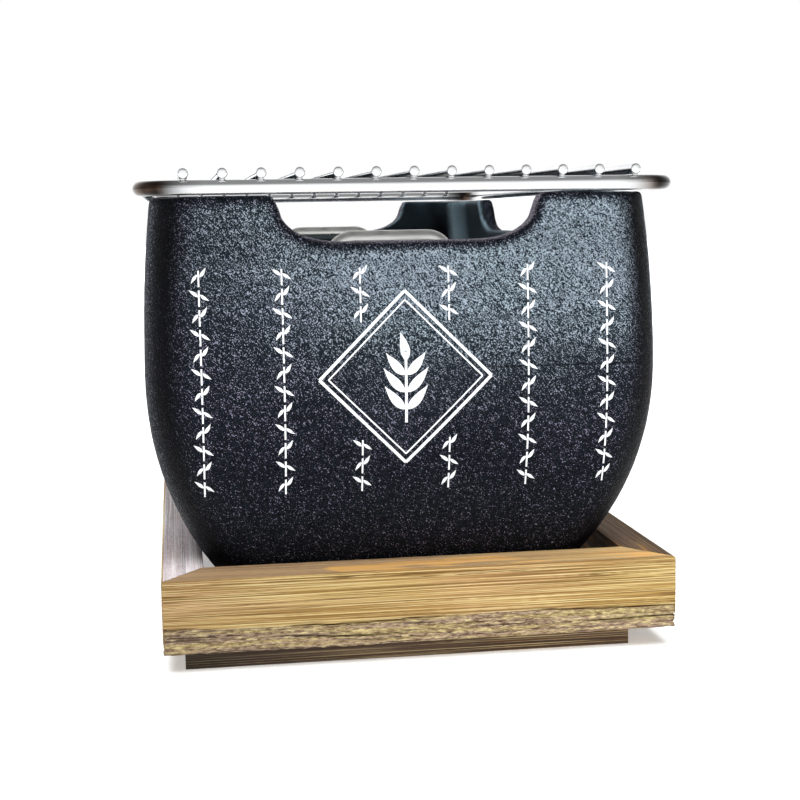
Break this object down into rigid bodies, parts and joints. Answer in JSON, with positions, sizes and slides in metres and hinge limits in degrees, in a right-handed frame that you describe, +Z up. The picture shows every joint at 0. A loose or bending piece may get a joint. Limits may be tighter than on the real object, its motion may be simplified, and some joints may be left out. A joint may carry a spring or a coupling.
{
  "type": "hibachi grill",
  "caption": "Table-top charcoal hibachi: barrel-sided cast firebox with rim notches, lift-out charcoal grate, rod cooking grate and sliding side vents, in a mitred wooden base.",
  "frame": {"origin": "under the middle of the whole grill, on the surface it stands on; the wooden base's own middle is 1.5 mm to +X of it", "axes": "+Z up, +Y along the grill's long side, +X across its short end; the end with the pictured face looks along -Y"},
  "size_m": [0.1436, 0.2736, 0.1329],
  "materials": {
    "wood": "weathered softwood, grain open",
    "dark_wood": "dark stained, rough",
    "coated_casting": "black heat-resistant coating with a leathery cast texture",
    "plain_steel": "dull steel",
    "polished_steel": "polished"
  },
  "bodies": {
    "base": {"base_rail_front": "wood", "base_rail_back": "wood", "base_rail_left": "wood", "base_rail_right": "wood", "base_batten_front": "dark_wood", "base_batten_back": "dark_wood", "batten_nail_1": "plain_steel", "batten_nail_2": "plain_steel", "batten_nail_3": "plain_steel", "batten_nail_4": "plain_steel"},
    "firebox": {"firebox": "coated_casting", "left_vent_guide_lower": "plain_steel", "left_vent_guide_upper": "plain_steel", "right_vent_guide_lower": "plain_steel", "right_vent_guide_upper": "plain_steel", "left_vent_rivet_1": "plain_steel", "left_vent_rivet_2": "plain_steel", "left_vent_rivet_3": "plain_steel", "left_vent_rivet_4": "plain_steel", "right_vent_rivet_1": "plain_steel", "right_vent_rivet_2": "plain_steel", "right_vent_rivet_3": "plain_steel", "right_vent_rivet_4": "plain_steel"},
    "left_vent_door": {"left_vent_door": "plain_steel", "left_vent_knob": "plain_steel"},
    "right_vent_door": {"right_vent_door": "plain_steel", "right_vent_knob": "plain_steel"},
    "charcoal_grate": {"charcoal_grate_frame": "plain_steel", "charcoal_grate_bar_01": "plain_steel", "charcoal_grate_bar_02": "plain_steel", "charcoal_grate_bar_03": "plain_steel", "charcoal_grate_bar_04": "plain_steel", "charcoal_grate_bar_05": "plain_steel", "charcoal_grate_bar_06": "plain_steel", "charcoal_grate_bar_07": "plain_steel", "charcoal_grate_bar_08": "plain_steel", "charcoal_grate_bar_09": "plain_steel", "charcoal_grate_bar_10": "plain_steel", "charcoal_grate_bar_11": "plain_steel", "charcoal_grate_bar_12": "plain_steel", "charcoal_grate_bar_13": "plain_steel", "charcoal_grate_bar_14": "plain_steel", "charcoal_grate_bar_15": "plain_steel", "charcoal_grate_handle_front": "polished_steel", "charcoal_grate_handle_back": "polished_steel"},
    "cooking_grate": {"cooking_grate_frame": "polished_steel", "cooking_grate_rod_01": "polished_steel", "cooking_grate_rod_02": "polished_steel", "cooking_grate_rod_03": "polished_steel", "cooking_grate_rod_04": "polished_steel", "cooking_grate_rod_05": "polished_steel", "cooking_grate_rod_06": "polished_steel", "cooking_grate_rod_07": "polished_steel", "cooking_grate_rod_08": "polished_steel", "cooking_grate_rod_09": "polished_steel", "cooking_grate_rod_10": "polished_steel", "cooking_grate_rod_11": "polished_steel", "cooking_grate_rod_12": "polished_steel", "cooking_grate_rod_13": "polished_steel"}
  },
  "joints": [
    {"name": "firebox_lift", "type": "slide", "parent": "base", "child": "firebox", "axis": [0, 0, 1], "range_m": [0, 0.05]},
    {"name": "charcoal_grate_lift", "type": "slide", "parent": "firebox", "child": "charcoal_grate", "axis": [0, 0, 1], "range_m": [0, 0.07]},
    {"name": "cooking_grate_lift", "type": "slide", "parent": "charcoal_grate", "child": "cooking_grate", "axis": [0, 0, 1], "range_m": [0, 0.06]},
    {"name": "left_vent_slide", "type": "slide", "parent": "firebox", "child": "left_vent_door", "axis": [0, 1, 0], "range_m": [-0.034, 0]},
    {"name": "right_vent_slide", "type": "slide", "parent": "firebox", "child": "right_vent_door", "axis": [0, 1, 0], "range_m": [-0.034, 0]}
  ]
}
